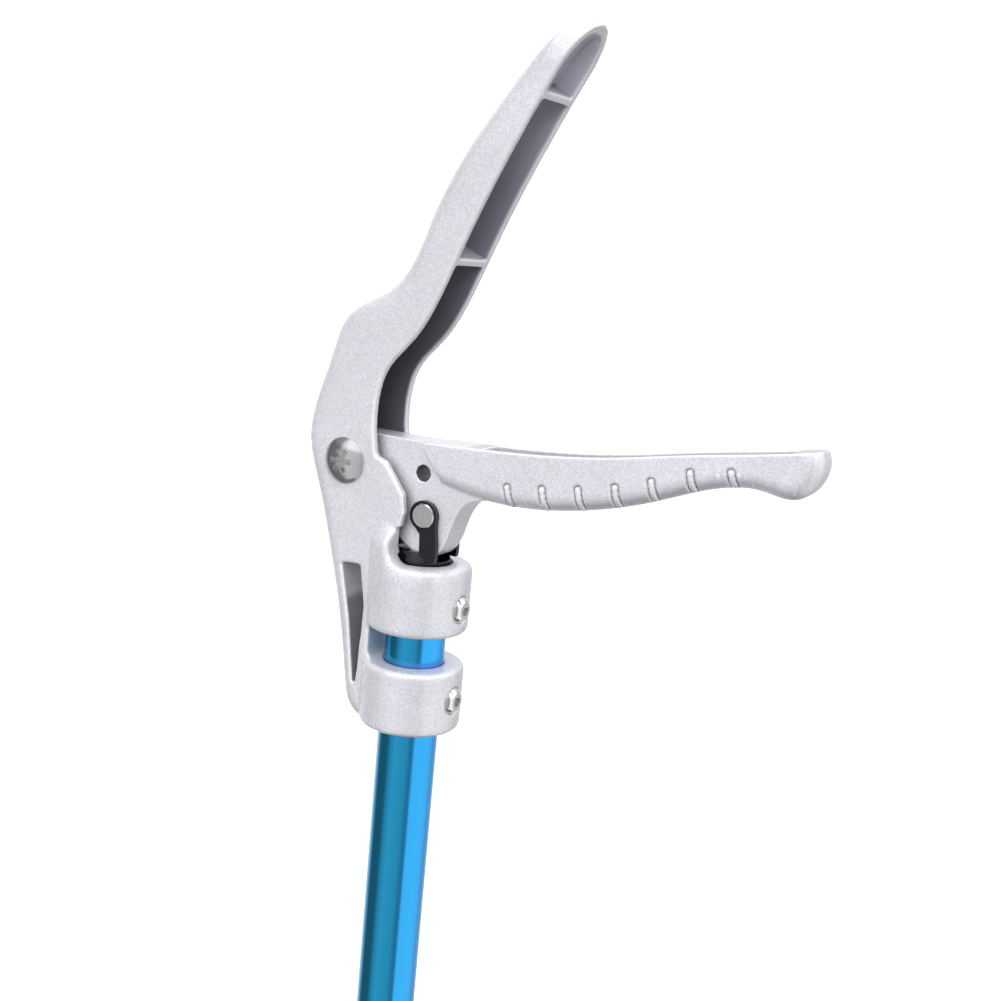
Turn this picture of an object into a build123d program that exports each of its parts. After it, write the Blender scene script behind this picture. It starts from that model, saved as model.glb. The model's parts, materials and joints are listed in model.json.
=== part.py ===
from build123d import *
import os
from math import atan, cos, degrees, radians, sin

# Lever-handled reacher grabber. Millimetres. The Z axis is the tube's axis, +Z towards the
# handle. The origin is on that axis at the lower clamp collar's bottom face. +X points towards
# the lever's free end. Every piece is drawn at rest: lever released, jaws open.

# ---- driving dimensions -----------------------------------------------------------------
TUBE_R = 8.0
TUBE_BORE_R = 7.0
TUBE_TOP = 43.2
TUBE_END = -563.0

HANDLE_HALF_WIDTH = 8.75
HANDLE_WALL = 2.25
CHANNEL_HALF = HANDLE_HALF_WIDTH - HANDLE_WALL
BACK_ROUND = 4.0

COLLAR_R = 13.45
LOWER_COLLAR_TOP = 17.4
UPPER_COLLAR_BASE = 26.5
UPPER_COLLAR_TOP = 44.8
SHOULDER_TOP = 53.0
SHOULDER_ROUND = 4.0
COLLAR_ROUND = 1.5
MOUTH_BACK = -3.3
MOUTH_SWEEP = 4.5
MOUTH_R = 8.2
WEB_FRONT = -9.4
WEB_ROUND = 2.5
POCKET_FLOOR = 47.0
RIB_THICK = 2.0
RIB_DEPTH = 8.0
RIB_ANGLE = 155.0

PIVOT_X = -20.5
PIVOT_Z = 68.7
PIVOT_R = 3.0
RUNNING_FIT = 0.05
SCREW_HEAD_R = 6.0
SCREW_HEAD_HEIGHT = 2.4
SCREW_SHANK_PROUD = 1.0
PIVOT_RECESS_R = 3.2
DOME_EDGE = 0.24
DOME_SHOULDER_R = 0.62
DOME_SHOULDER_HEIGHT = 0.8
RECESS_WING = 0.42
RECESS_CORE = 0.46
RECESS_DEPTH = 0.7
NUT_FLATS = 10.0
NUT_HEIGHT = 5.0
SPACER_R = 6.5

CLAMP_SCREW_R = 2.0
CLAMP_HEAD_R = 3.65
CLAMP_HEAD_LOW = 12.2
CLAMP_HEAD_HEIGHT = 2.1
CLAMP_HEAD_EDGE = 0.5
CLAMP_FACE_R = 2.3
CLAMP_SEAT_R = 3.8
SOCKET_FLATS = 2.5
SOCKET_DEPTH = 1.3
CLAMP_SCREW_HEIGHTS = (8.9, 33.7)

LEVER_ROOT_HALF = 4.5
LEVER_GRIP_HALF = 6.1
LEVER_WALL = 2.0
LEVER_ROUND = 4.0
LEVER_HUB_R = 7.6
SLEEVE_R = 4.6
LANYARD_X = 0.9
LANYARD_Z = 68.2
LANYARD_R = 2.15

FORK_PIN_X = 2.8
FORK_PIN_Z = 57.6
FORK_PIN_R = 3.35
FORK_EYE_R = 3.95
FORK_SLOT_HALF = 4.65
FORK_HALF = 6.1
FORK_PIN_PROUD = 0.2
FORK_PIN_CHAMFER = 0.4
FORK_BASE_R = 7.4
FORK_BASE_LOW = 43.6
FORK_BASE_TOP = 45.6
FORK_BELL_R = 6.4
FORK_BELL_TOP = 47.9
FORK_FLAT_HALF = 6.3
FORK_FLAT_END = -0.5
FORK_STEM_R = 5.7
FORK_STEM_LOW = 33.0
SOCKET_R = 4.5
SOCKET_TOP = 40.4
RING_TOP = 36.0
RING_BORE_R = 3.5

ROD_R = 2.5
ROD_HEAD_R = 3.5
ROD_HEAD_LOW = 36.6
ROD_HEAD_TOP = 39.8
ROD_NECK_R = 2.0
ROD_NECK_LOW = 16.0
ROD_TRAVEL = 13.6

UPPER_BUSH_TOP = -8.0
BUSH_LENGTH = 10.0
SPRING_LENGTH = 55.0
SPRING_MEAN_R = 4.9
SPRING_WIRE_R = 0.6
SPRING_TURNS = 11
SPRING_COLLAR_R = 6.2
SPRING_COLLAR_LENGTH = 6.0
LOWER_BUSH_TOP = -535.0

HEAD_TOP = -532.0
HEAD_SHELF = -566.0
HEAD_LOW = -598.0
HEAD_HALF_X = 23.0
HEAD_INNER = 6.8
HEAD_OUTER = 9.3
HEAD_NECK = 8.0
HEAD_FLARE = 6.0
HEAD_CORNER = 8.0
HEAD_SCREW_HEIGHTS = (-541.0, -556.0)

JAW_PIVOT_X = 15.0
JAW_PIVOT_Z = -590.0
JAW_PIN_R = 3.0
JAW_HALF_SWING = degrees(atan(ROD_TRAVEL / 2 / JAW_PIVOT_X))
JAW_SWING = 2 * JAW_HALF_SWING
JAW_HUB_R = 6.4
JAW_HUB_HALF = 6.5
JAW_FINGER_HALF = 5.0
JAW_ARM_INNER = 0.25
JAW_ARM_OUTER = 4.0
JAW_ARM_WIDTH = 9.6
JAW_ARM_PAST_PIN = 4.5
DRIVE_PIN_R = 2.5
DRIVE_PIN_Z = JAW_PIVOT_Z - ROD_TRAVEL / 2
DRIVE_SLOT_R = DRIVE_PIN_R + 0.35
DRIVE_SLOT_RUN = 2.6
DRIVE_SLOT_SHIFT = 0.8
JAW_SCREW_HEAD_R = 5.2
JAW_RECESS_R = 2.7
PAD_FACE = JAW_PIVOT_X - 0.3
PAD_THICK = 3.6
PAD_HALF = 11.0
PAD_TOP = -44.0
PAD_LOW = -68.0
PAD_GROOVES = 7
PAD_GROOVE_PITCH = 3.2
PAD_GROOVE_DEPTH = 1.0

ROD_END_TOP = -581.0
ROD_END_HALF_X = 4.5
ROD_END_HALF = 6.4
ROD_END_SLOT_HALF = 4.3
ROD_LOW = -588.5
LOCK_NUT_FLATS = 8.0
LOCK_NUT_HEIGHT = 3.2

# Handle outline in side view (x, z): the back runs from the nose down to the fin's tip, and the
# rim of the open channel runs from the nose down to the lever's throat.
NOSE = (37.0, 178.4)
BACK = (
    NOSE, (30.6, 177.9), (25.6, 174.1), (18.3, 165.0), (8.4, 151.0), (-1.7, 131.5), (-6.8, 119.6),
    (-11.8, 114.2), (-19.4, 110.1), (-25.0, 105.2), (-28.5, 96.1), (-33.3, 80.3), (-34.0, 73.8),
    (-30.5, 61.2), (-25.6, 45.8), (-21.4, 30.0), (-17.6, 10.0), (-15.8, 3.6), (-12.0, 0.0),
)
RIM = (
    NOSE, (33.2, 172.9), (24.5, 157.8), (14.4, 138.0), (7.7, 123.0), (3.4, 113.0), (-3.5, 101.5),
    (-10.6, 92.8), (-12.2, 87.5), (-12.3, 76.0),
)
THROAT = ((-11.4, 71.4), (-8.2, 70.2), (-2.3, 62.8), (-1.4, 58.0), (-3.3, 50.5), (-3.3, 40.0))
WINDOW = ((-19.4, 41.6), (-13.6, 42.0), (-11.6, 31.0), (-12.6, 8.6), (-13.3, 8.6), (-16.1, 27.2))
RIBS = ((26.8, 161.7), (7.2, 121.8))

# Side view (x, z) of the fork's narrow neck, from its eye down to its foot.
FORK_NECK = (
    (-0.6, 55.6), (2.2, 52.8), (2.4, 50.0), (2.7, 46.0), (7.2, 46.0), (7.4, 48.6), (7.0, 52.4),
    (6.75, 57.6),
)

# Lever outline in side view (x, z).
LEVER_TOP = (
    (1.2, 76.4), (22.0, 77.3), (39.0, 78.7), (55.0, 81.0), (69.5, 83.8), (83.5, 86.2), (101.0, 89.4),
)
LEVER_UNDERSIDE = (
    (101.4, 82.8), (97.2, 78.0), (88.2, 78.5), (83.0, 78.3), (77.5, 77.0), (63.1, 71.4),
    (45.0, 66.1), (25.6, 63.8), (13.0, 64.7),
)
GRIP_START = ((7.4, 66.2), (5.2, 69.8), (1.6, 74.0))
ROOT_END = (19.0, 72.0)
LOBE_FRONT = ((19.0, 64.0), (13.4, 61.6), (11.2, 58.0), (10.2, 55.0), (8.6, 50.5), (6.0, 47.2))
LOBE_BACK = ((0.0, 47.4), (-5.0, 50.5), (-12.0, 58.0))

# Jaw finger's outline (towards the other jaw, up) from its pivot, drawn closed.
JAW_BACK = ((-9.0, -20.0), (-5.0, -45.0), (4.0, PAD_LOW - 3))
JAW_FRONT = ((4.0, -32.0), (1.5, -18.0))

os.makedirs("parts", exist_ok=True)


def save(part, label):
    part.label = label
    export_step(part, "parts/" + label + ".step")


def inward(line, thickness, start, stop, steps):
    """Points at one wall thickness to the left of a side-view line, seen along its run."""
    points = []
    for step in range(steps + 1):
        t = start + (stop - start) * step / steps
        run = line.tangent_at(t)
        points.append(line.position_at(t) + Vector(-run.Y, run.X) * thickness)
    return [(point.X, point.Y) for point in points]


def collar_corners(corners):
    """The outer corners of a collar's half section."""
    return corners.filter_by(lambda corner: abs(corner.X - COLLAR_R) < 0.01)


# ---- handle casting ---------------------------------------------------------------------
nose_lean = 28.0
nose_length = 13.0
nose_plane = Plane(
    origin=(NOSE[0], 0, NOSE[1]),
    x_dir=(0, 1, 0),
    z_dir=(cos(radians(nose_lean)), 0, -sin(radians(nose_lean))),
)
far_front = 60.0

with BuildLine():
    back_line = Spline(*BACK)
inner_back = inward(back_line, HANDLE_WALL, 0.0, 0.76, 19)

# The hollow of the handle: narrower than the handle by one wall, rounded in plan at the nose.
with BuildPart() as channel_hollow:
    with BuildSketch(Plane.XZ):
        with BuildLine():
            Spline(*inner_back)
            Polyline(
                inner_back[-1],
                (inner_back[-1][0], POCKET_FLOOR),
                (far_front, POCKET_FLOOR),
                (far_front, inner_back[0][1]),
                inner_back[0],
            )
        make_face()
    extrude(amount=CHANNEL_HALF, both=True)
    with BuildSketch(nose_plane):
        with Locations((0, 1 - nose_length / 2)):
            Rectangle(4 * HANDLE_HALF_WIDTH, nose_length + 2)
        with Locations((0, -nose_length)):
            Ellipse(CHANNEL_HALF, nose_length - HANDLE_WALL, mode=Mode.SUBTRACT)
    extrude(amount=far_front, both=True, mode=Mode.SUBTRACT)

with BuildPart() as handle_body:
    with BuildSketch(Plane.XZ):
        with BuildLine():
            Spline(*BACK)
            Spline(*RIM)
            Polyline(RIM[-1], *THROAT, (WEB_FRONT, THROAT[-1][1]), (WEB_FRONT, 0), BACK[-1])
        make_face()
    extrude(amount=HANDLE_HALF_WIDTH, both=True)
    long_back_edges = handle_body.edges().filter_by(
        lambda edge: edge.length > 200 and abs(edge.center().Y) > CHANNEL_HALF
    )
    fillet(long_back_edges, radius=BACK_ROUND)

    # The nose is rounded in plan.
    with BuildSketch(nose_plane):
        with Locations((0, 1 - nose_length / 2)):
            Rectangle(4 * HANDLE_HALF_WIDTH, nose_length + 2)
        with Locations((0, -nose_length)):
            Ellipse(HANDLE_HALF_WIDTH, nose_length, mode=Mode.SUBTRACT)
    extrude(amount=far_front, both=True, mode=Mode.SUBTRACT)

    # Clamp collars. The upper one carries a shoulder that runs up into the side walls, and its
    # front is cut away in a hollow curve to leave the flat mouth around the tube.
    with BuildSketch(Plane.XZ):
        Rectangle(COLLAR_R, LOWER_COLLAR_TOP, align=(Align.MIN, Align.MIN))
        lower_rims = collar_corners(vertices())
        fillet(lower_rims, radius=COLLAR_ROUND)
    revolve(axis=Axis.Z)
    with BuildSketch(Plane.XZ):
        with Locations((0, UPPER_COLLAR_BASE)):
            Rectangle(
                COLLAR_R, SHOULDER_TOP - UPPER_COLLAR_BASE, align=(Align.MIN, Align.MIN)
            )
        fillet(collar_corners(vertices()).sort_by(Axis.Y)[0], radius=COLLAR_ROUND)
        fillet(collar_corners(vertices()).sort_by(Axis.Y)[-1], radius=SHOULDER_ROUND)
    revolve(axis=Axis.Z)
    with BuildSketch(Plane.XZ):
        with BuildLine():
            Line((MOUTH_BACK, SHOULDER_TOP + 1), (MOUTH_BACK, UPPER_COLLAR_TOP + MOUTH_SWEEP))
            RadiusArc(
                (MOUTH_BACK, UPPER_COLLAR_TOP + MOUTH_SWEEP),
                (MOUTH_BACK + MOUTH_SWEEP, UPPER_COLLAR_TOP),
                -MOUTH_SWEEP,
            )
            Polyline(
                (MOUTH_BACK + MOUTH_SWEEP, UPPER_COLLAR_TOP),
                (COLLAR_R + 2, UPPER_COLLAR_TOP),
                (COLLAR_R + 2, SHOULDER_TOP + 1),
                (MOUTH_BACK, SHOULDER_TOP + 1),
            )
        make_face()
    extrude(amount=COLLAR_R + 2, both=True, mode=Mode.SUBTRACT)

    # The web behind the clamp slot meets the lower collar in a round.
    with BuildSketch(Plane.XZ):
        with Locations((WEB_FRONT, LOWER_COLLAR_TOP)):
            Rectangle(WEB_ROUND, WEB_ROUND, align=(Align.MIN, Align.MIN))
        with Locations((WEB_FRONT + WEB_ROUND, LOWER_COLLAR_TOP + WEB_ROUND)):
            Circle(WEB_ROUND, mode=Mode.SUBTRACT)
    extrude(amount=HANDLE_HALF_WIDTH, both=True)

    add(channel_hollow.part, mode=Mode.SUBTRACT)

    # Cross ribs inside the channel, just below the rim.
    with BuildSketch(Plane.XZ):
        for rib_x, rib_z in RIBS:
            with Locations(Location((rib_x, rib_z), RIB_ANGLE)):
                Rectangle(RIB_DEPTH, RIB_THICK, align=(Align.MIN, Align.CENTER))
    extrude(amount=(CHANNEL_HALF + HANDLE_HALF_WIDTH) / 2, both=True)

    # Tube bore with the fork's mouth above it, and the lightening window in the fin.
    with BuildSketch(Plane.XY.offset(-1)):
        Circle(TUBE_R)
    extrude(amount=TUBE_TOP + 1, mode=Mode.SUBTRACT)
    with BuildSketch(Plane.XY.offset(TUBE_TOP)):
        Circle(MOUTH_R)
    extrude(amount=POCKET_FLOOR - TUBE_TOP, mode=Mode.SUBTRACT)
    with BuildSketch(Plane.XZ):
        with BuildLine():
            Polyline(*WINDOW, close=True)
        make_face()
    extrude(amount=2 * HANDLE_HALF_WIDTH, both=True, mode=Mode.SUBTRACT)

    # Pivot holes through both walls, and the tapped holes and seats of the two clamp screws.
    with BuildSketch(Plane.XZ):
        with Locations((PIVOT_X, PIVOT_Z)):
            Circle(PIVOT_R)
    extrude(amount=2 * HANDLE_HALF_WIDTH, both=True, mode=Mode.SUBTRACT)
    with BuildSketch(Plane.YZ):
        with Locations(*[(0, height) for height in CLAMP_SCREW_HEIGHTS]):
            Circle(CLAMP_SCREW_R)
    extrude(amount=COLLAR_R + 2, mode=Mode.SUBTRACT)
    with BuildSketch(Plane.YZ.offset(CLAMP_HEAD_LOW)):
        with Locations(*[(0, height) for height in CLAMP_SCREW_HEIGHTS]):
            Circle(CLAMP_SEAT_R)
    extrude(amount=COLLAR_R - CLAMP_HEAD_LOW + 1, mode=Mode.SUBTRACT)

save(handle_body.part, "handle_body")

# ---- lever ------------------------------------------------------------------------------
with BuildLine():
    underside_line = Spline(*LEVER_UNDERSIDE)
inner_underside = inward(underside_line, -LEVER_WALL, 0.1, 0.96, 12)
above_grip = 100.0

with BuildPart() as lever:
    with BuildSketch(Plane.XZ):
        with BuildLine():
            Spline(*LEVER_TOP)
            Spline(LEVER_TOP[-1], *LEVER_UNDERSIDE)
            Polyline(LEVER_UNDERSIDE[-1], *GRIP_START, LEVER_TOP[0])
        make_face()
    extrude(amount=LEVER_GRIP_HALF, both=True)
    grip_bottom_edges = lever.edges().filter_by(
        lambda edge: edge.center().Z < 77 and edge.length > 60
    )
    fillet(grip_bottom_edges, radius=LEVER_ROUND)

    # The grip is hollow from above.
    with BuildSketch(Plane.XZ):
        with BuildLine():
            Spline(*inner_underside)
            Polyline(
                inner_underside[-1],
                (inner_underside[-1][0], above_grip),
                (inner_underside[0][0], above_grip),
                inner_underside[0],
            )
        make_face()
    extrude(amount=LEVER_GRIP_HALF - LEVER_WALL, both=True, mode=Mode.SUBTRACT)

    # Root plate with the hub and the lobe that carries the fork.
    with BuildSketch(Plane.XZ):
        with BuildLine():
            Polyline(
                LOBE_BACK[-1],
                (PIVOT_X - LEVER_HUB_R * sin(radians(60)), PIVOT_Z - LEVER_HUB_R / 2),
                (PIVOT_X + 1, PIVOT_Z + LEVER_HUB_R),
                LEVER_TOP[0],
                ROOT_END,
                LOBE_FRONT[0],
            )
            Spline(*LOBE_FRONT)
            Line(LOBE_FRONT[-1], LOBE_BACK[0])
            Spline(*LOBE_BACK)
        make_face()
        with Locations((PIVOT_X, PIVOT_Z)):
            Circle(LEVER_HUB_R)
    extrude(amount=LEVER_ROOT_HALF, both=True)

    # Bores for the pivot sleeve, the fork pin and a lanyard.
    with BuildSketch(Plane.XZ):
        with Locations((PIVOT_X, PIVOT_Z)):
            Circle(SLEEVE_R)
        with Locations((FORK_PIN_X, FORK_PIN_Z)):
            Circle(FORK_PIN_R + RUNNING_FIT)
        with Locations((LANYARD_X, LANYARD_Z)):
            Circle(LANYARD_R)
    extrude(amount=2 * LEVER_GRIP_HALF, both=True, mode=Mode.SUBTRACT)
save(lever.part, "lever")

with BuildPart() as pivot_sleeve:
    with BuildSketch(Plane.XZ):
        with Locations((PIVOT_X, PIVOT_Z)):
            Circle(SLEEVE_R)
            Circle(PIVOT_R + RUNNING_FIT, mode=Mode.SUBTRACT)
    extrude(amount=LEVER_ROOT_HALF, both=True)
save(pivot_sleeve.part, "pivot_sleeve")

# ---- fasteners' shapes ------------------------------------------------------------------
def domed_screw(face, head_r, height, recess_r, shank_r, shank_length):
    """A domed screw with a star recess: head in front of a face, shank behind it."""
    with BuildPart() as screw:
        with BuildSketch(Plane(origin=face.origin, x_dir=face.x_dir, z_dir=-face.y_dir)):
            with BuildLine():
                Polyline((0, height), (0, 0), (head_r, 0), (head_r, DOME_EDGE * height))
                ThreePointArc(
                    (head_r, DOME_EDGE * height),
                    (DOME_SHOULDER_R * head_r, DOME_SHOULDER_HEIGHT * height),
                    (0, height),
                )
            make_face()
        revolve(axis=Axis(face.origin, face.z_dir))
        with BuildSketch(face.offset(2 * height)):
            Circle(RECESS_CORE * recess_r)
            for angle in (0, 60, 120):
                with Locations(Location((0, 0), angle)):
                    Rectangle(2 * recess_r, RECESS_WING * recess_r)
        extrude(amount=-(1 + RECESS_DEPTH) * height, mode=Mode.SUBTRACT)
        with BuildSketch(face):
            Circle(shank_r)
        extrude(amount=-shank_length)
    return screw.part


def hex_nut(face, across_flats, height, bore_r):
    """A hexagon nut standing on a face."""
    with BuildPart() as nut:
        with BuildSketch(face):
            RegularPolygon(radius=across_flats / 2, side_count=6, major_radius=False)
            Circle(bore_r, mode=Mode.SUBTRACT)
        extrude(amount=height)
    return nut.part


def clamp_screw(height):
    """A button-head screw with a hexagon socket that bears on the tube from the front."""
    with BuildPart() as screw:
        with BuildSketch(Plane(origin=(0, 0, height), x_dir=(1, 0, 0), z_dir=(0, -1, 0))):
            with BuildLine():
                Polyline(
                    (TUBE_R, 0),
                    (TUBE_R, CLAMP_SCREW_R),
                    (CLAMP_HEAD_LOW, CLAMP_SCREW_R),
                    (CLAMP_HEAD_LOW, CLAMP_HEAD_R),
                    (CLAMP_HEAD_LOW + CLAMP_HEAD_EDGE, CLAMP_HEAD_R),
                )
                RadiusArc(
                    (CLAMP_HEAD_LOW + CLAMP_HEAD_EDGE, CLAMP_HEAD_R),
                    (CLAMP_HEAD_LOW + CLAMP_HEAD_HEIGHT, CLAMP_FACE_R),
                    CLAMP_HEAD_R,
                    short_sagitta=True,
                )
                Polyline(
                    (CLAMP_HEAD_LOW + CLAMP_HEAD_HEIGHT, CLAMP_FACE_R),
                    (CLAMP_HEAD_LOW + CLAMP_HEAD_HEIGHT, 0),
                    (TUBE_R, 0),
                )
            make_face()
        revolve(axis=Axis((0, 0, height), (1, 0, 0)))
        with BuildSketch(Plane.YZ.offset(CLAMP_HEAD_LOW + CLAMP_HEAD_HEIGHT)):
            with Locations((0, height)):
                RegularPolygon(radius=SOCKET_FLATS / 2, side_count=6, major_radius=False)
        extrude(amount=-SOCKET_DEPTH, mode=Mode.SUBTRACT)
    return screw.part


def side_face(x, y, z):
    """A plane across the object's width at a point, facing away from the middle."""
    return Plane(origin=(x, y, z), x_dir=(1, 0, 0), z_dir=(0, -1 if y < 0 else 1, 0))


# ---- lever pivot ------------------------------------------------------------------------
near_wall = side_face(PIVOT_X, -HANDLE_HALF_WIDTH, PIVOT_Z)
far_wall = side_face(PIVOT_X, HANDLE_HALF_WIDTH, PIVOT_Z)

with BuildPart() as pivot_screw:
    add(
        domed_screw(
            near_wall,
            SCREW_HEAD_R,
            SCREW_HEAD_HEIGHT,
            PIVOT_RECESS_R,
            PIVOT_R,
            2 * HANDLE_HALF_WIDTH + NUT_HEIGHT + SCREW_SHANK_PROUD,
        )
    )
save(pivot_screw.part, "pivot_screw")

with BuildPart() as pivot_nut:
    add(hex_nut(far_wall, NUT_FLATS, NUT_HEIGHT, PIVOT_R))
save(pivot_nut.part, "pivot_nut")

with BuildPart() as pivot_spacers:
    for side in (-1, 1):
        with BuildSketch(side_face(PIVOT_X, side * (LEVER_ROOT_HALF + RUNNING_FIT), PIVOT_Z)):
            Circle(SPACER_R)
            Circle(PIVOT_R, mode=Mode.SUBTRACT)
        extrude(amount=CHANNEL_HALF - LEVER_ROOT_HALF - RUNNING_FIT)
save(pivot_spacers.part, "pivot_spacers")

# ---- tube and its clamp screws ----------------------------------------------------------
with BuildPart() as tube:
    with BuildSketch(Plane.XY.offset(TUBE_END)):
        Circle(TUBE_R)
        Circle(TUBE_BORE_R, mode=Mode.SUBTRACT)
    extrude(amount=TUBE_TOP - TUBE_END)
save(tube.part, "tube")

with BuildPart() as handle_set_screws:
    for height in CLAMP_SCREW_HEIGHTS:
        add(clamp_screw(height))
save(handle_set_screws.part, "handle_set_screws")

# ---- fork that hangs on the lever -------------------------------------------------------
with BuildPart() as fork:
    with BuildSketch(Plane.XZ):
        with BuildLine():
            Line(FORK_NECK[0], FORK_NECK[1])
            Spline(*FORK_NECK[1:4])
            Line(FORK_NECK[3], FORK_NECK[4])
            Spline(*FORK_NECK[4:])
            Line(FORK_NECK[-1], FORK_NECK[0])
        make_face()
        with Locations((FORK_PIN_X, FORK_PIN_Z)):
            Circle(FORK_EYE_R)
    extrude(amount=FORK_HALF, both=True)

    # Bell-shaped base, with flats where it passes between the handle's side walls.
    with BuildSketch(Plane.XZ):
        with BuildLine():
            Polyline(
                (FORK_BELL_R, FORK_BELL_TOP),
                (0, FORK_BELL_TOP),
                (0, FORK_STEM_LOW),
                (FORK_STEM_R, FORK_STEM_LOW),
                (FORK_STEM_R, FORK_BASE_LOW),
                (FORK_BASE_R, FORK_BASE_LOW),
                (FORK_BASE_R, FORK_BASE_TOP),
            )
            Line((FORK_BASE_R, FORK_BASE_TOP), (FORK_BELL_R, FORK_BELL_TOP))
        make_face()
    revolve(axis=Axis.Z)
    with BuildSketch(Plane.XY.offset(FORK_BASE_LOW)):
        for side in (-1, 1):
            with Locations((FORK_FLAT_END, side * 2 * FORK_FLAT_HALF)):
                Rectangle(3 * FORK_BASE_R, 2 * FORK_FLAT_HALF, align=(Align.MAX, Align.CENTER))
    extrude(amount=FORK_BELL_TOP - FORK_BASE_LOW, mode=Mode.SUBTRACT)

    # Slot for the lever's lobe, the pin's hole and the socket for the rod's head.
    with BuildSketch(Plane.XY.offset(FORK_BASE_TOP)):
        Rectangle(6 * FORK_BASE_R, 2 * FORK_SLOT_HALF)
    extrude(amount=FORK_PIN_Z + 2 * FORK_EYE_R - FORK_BASE_TOP, mode=Mode.SUBTRACT)
    with BuildSketch(Plane.XZ):
        with Locations((FORK_PIN_X, FORK_PIN_Z)):
            Circle(FORK_PIN_R)
    extrude(amount=2 * FORK_HALF, both=True, mode=Mode.SUBTRACT)
    with BuildSketch(Plane.XY.offset(FORK_STEM_LOW)):
        Circle(SOCKET_R)
    extrude(amount=SOCKET_TOP - FORK_STEM_LOW, mode=Mode.SUBTRACT)
save(fork.part, "fork")

with BuildPart() as fork_ring:
    with BuildSketch(Plane.XY.offset(FORK_STEM_LOW)):
        Circle(SOCKET_R)
        Circle(RING_BORE_R, mode=Mode.SUBTRACT)
    extrude(amount=RING_TOP - FORK_STEM_LOW)
save(fork_ring.part, "fork_ring")

with BuildPart() as fork_pin:
    with BuildSketch(Plane.XZ.offset(-FORK_HALF - FORK_PIN_PROUD)):
        with Locations((FORK_PIN_X, FORK_PIN_Z)):
            Circle(FORK_PIN_R)
    extrude(amount=2 * (FORK_HALF + FORK_PIN_PROUD))
    chamfer(fork_pin.edges().filter_by(GeomType.CIRCLE), length=FORK_PIN_CHAMFER)
save(fork_pin.part, "fork_pin")

# ---- pull rod ---------------------------------------------------------------------------
with BuildPart() as pull_rod:
    with BuildSketch(Plane.XY.offset(ROD_LOW)):
        Circle(ROD_R)
    extrude(amount=ROD_NECK_LOW - ROD_LOW)
    with BuildSketch(Plane.XY.offset(ROD_NECK_LOW)):
        Circle(ROD_NECK_R)
    extrude(amount=ROD_HEAD_LOW - ROD_NECK_LOW)
    with BuildSketch(Plane.XY.offset(ROD_HEAD_LOW)):
        Circle(ROD_HEAD_R)
    extrude(amount=ROD_HEAD_TOP - ROD_HEAD_LOW)
save(pull_rod.part, "pull_rod")

for label, bush_top in (("upper_guide_bush", UPPER_BUSH_TOP), ("lower_guide_bush", LOWER_BUSH_TOP)):
    with BuildPart() as bush:
        with BuildSketch(Plane.XY.offset(bush_top - BUSH_LENGTH)):
            Circle(TUBE_BORE_R)
            Circle(ROD_R + RUNNING_FIT, mode=Mode.SUBTRACT)
        extrude(amount=BUSH_LENGTH)
    save(bush.part, label)

# Return spring: it presses the rod down, which opens the jaws and lets the lever out.
spring_top = UPPER_BUSH_TOP - BUSH_LENGTH
spring_low = spring_top - SPRING_LENGTH
coil_height = SPRING_LENGTH - 2 * SPRING_WIRE_R
with BuildPart() as return_spring:
    with BuildLine():
        coil = Helix(
            pitch=coil_height / SPRING_TURNS,
            height=coil_height,
            radius=SPRING_MEAN_R,
            center=(0, 0, spring_low + SPRING_WIRE_R),
        )
    with BuildSketch(Plane(origin=coil @ 0, z_dir=coil % 0)):
        Circle(SPRING_WIRE_R)
    sweep(path=coil, is_frenet=True)
save(return_spring.part, "return_spring")

with BuildPart() as spring_collar:
    with BuildSketch(Plane.XY.offset(spring_low - SPRING_COLLAR_LENGTH)):
        Circle(SPRING_COLLAR_R)
        Circle(ROD_R, mode=Mode.SUBTRACT)
    extrude(amount=SPRING_COLLAR_LENGTH)
save(spring_collar.part, "spring_collar")

with BuildPart() as rod_end:
    with BuildSketch(Plane.XZ):
        with Locations((0, DRIVE_PIN_Z)):
            Circle(ROD_END_HALF_X)
        with Locations((0, DRIVE_PIN_Z)):
            Rectangle(
                2 * ROD_END_HALF_X, ROD_END_TOP - DRIVE_PIN_Z, align=(Align.CENTER, Align.MIN)
            )
    extrude(amount=ROD_END_HALF, both=True)
    with BuildSketch(Plane.XY.offset(ROD_LOW)):
        Rectangle(4 * ROD_END_HALF_X, 2 * ROD_END_SLOT_HALF)
    extrude(amount=DRIVE_PIN_Z - ROD_LOW - 2 * ROD_END_HALF_X, mode=Mode.SUBTRACT)
    with BuildSketch(Plane.XZ):
        with Locations((0, DRIVE_PIN_Z)):
            Circle(DRIVE_PIN_R)
    extrude(amount=2 * ROD_END_HALF, both=True, mode=Mode.SUBTRACT)
    with BuildSketch(Plane.XY.offset(ROD_LOW)):
        Circle(ROD_R)
    extrude(amount=ROD_END_TOP - ROD_LOW, mode=Mode.SUBTRACT)
save(rod_end.part, "rod_end")

with BuildPart() as rod_lock_nut:
    add(hex_nut(Plane.XY.offset(ROD_END_TOP), LOCK_NUT_FLATS, LOCK_NUT_HEIGHT, ROD_R))
save(rod_lock_nut.part, "rod_lock_nut")

with BuildPart() as drive_pin:
    with BuildSketch(Plane.XZ):
        with Locations((0, DRIVE_PIN_Z)):
            Circle(DRIVE_PIN_R)
    extrude(amount=ROD_END_HALF, both=True)
save(drive_pin.part, "drive_pin")

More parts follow.
